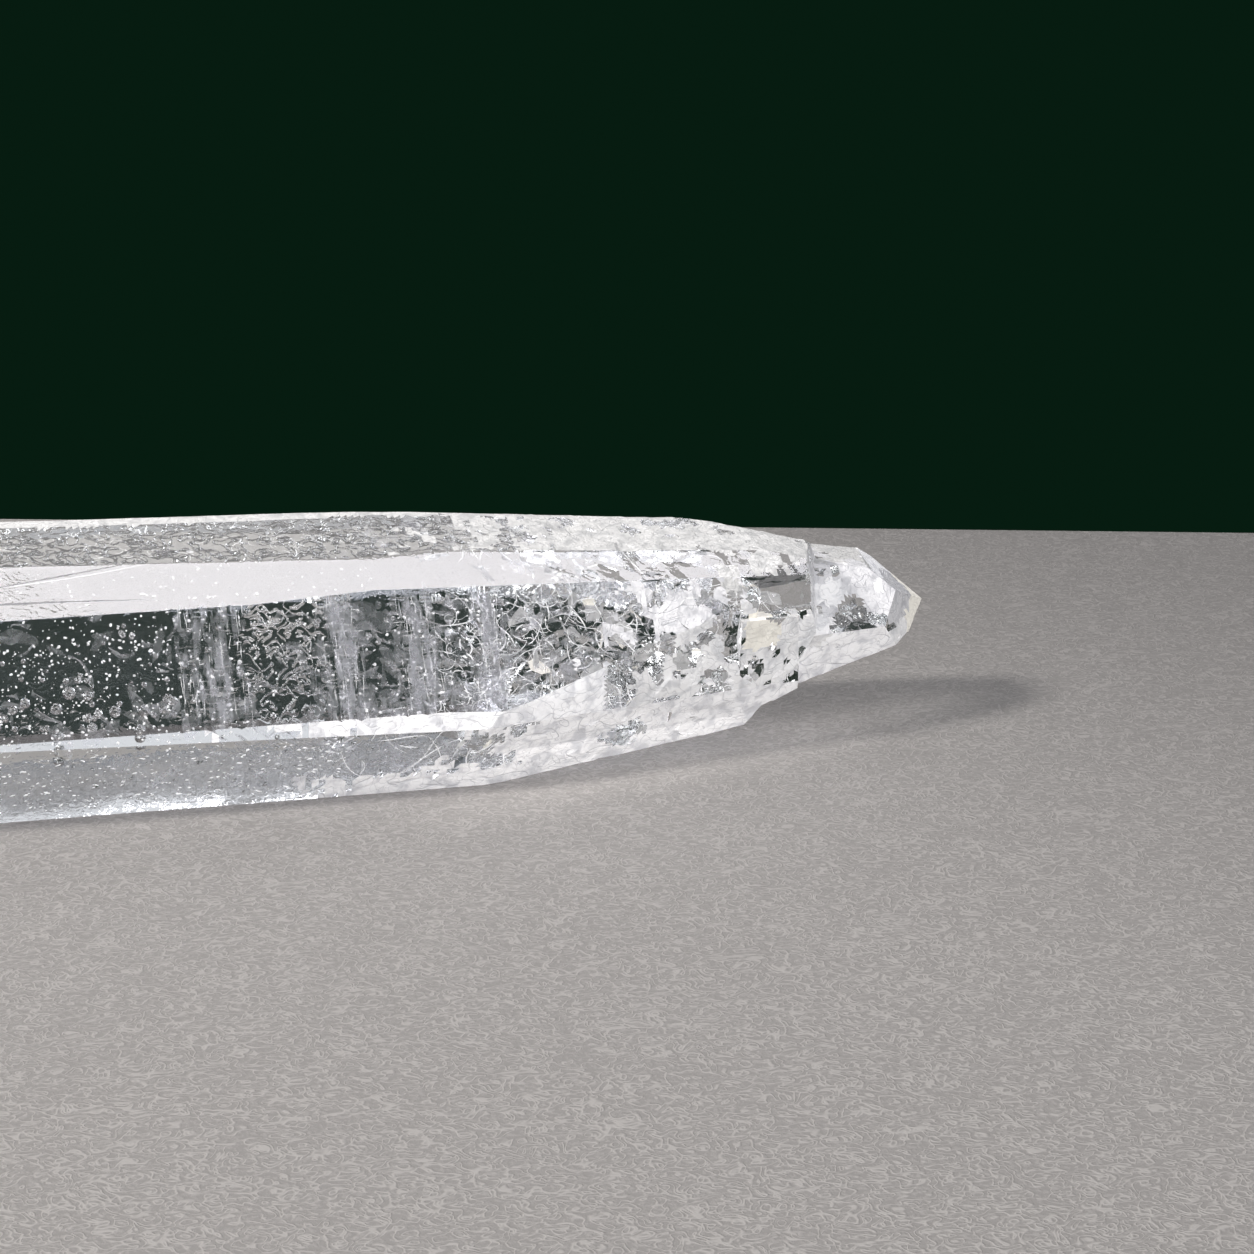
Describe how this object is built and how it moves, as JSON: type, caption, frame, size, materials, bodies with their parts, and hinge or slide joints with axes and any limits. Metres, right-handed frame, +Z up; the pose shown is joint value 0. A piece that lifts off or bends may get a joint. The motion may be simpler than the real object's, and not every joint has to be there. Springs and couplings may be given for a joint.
{
  "type": "lemurian quartz crystal",
  "caption": "Clear natural quartz crystal: a long flattened prism with grooved faces, a pitted taper, a smaller crystal at its tip and a broken base, lying on one face.",
  "frame": {"origin": "on the surface that the crystal rests on, under the middle of its box", "axes": "+X along the crystal's length towards its tip, -Y out of its front, +Z up"},
  "size_m": [0.15, 0.0426, 0.0287],
  "materials": {
    "clear_quartz": "clear natural quartz, glossy prism faces with etched growth grooves, small bubbles and fractures inside, frosty tip"
  },
  "bodies": {
    "root": {"quartz_crystal": "clear_quartz"}
  },
  "joints": []
}
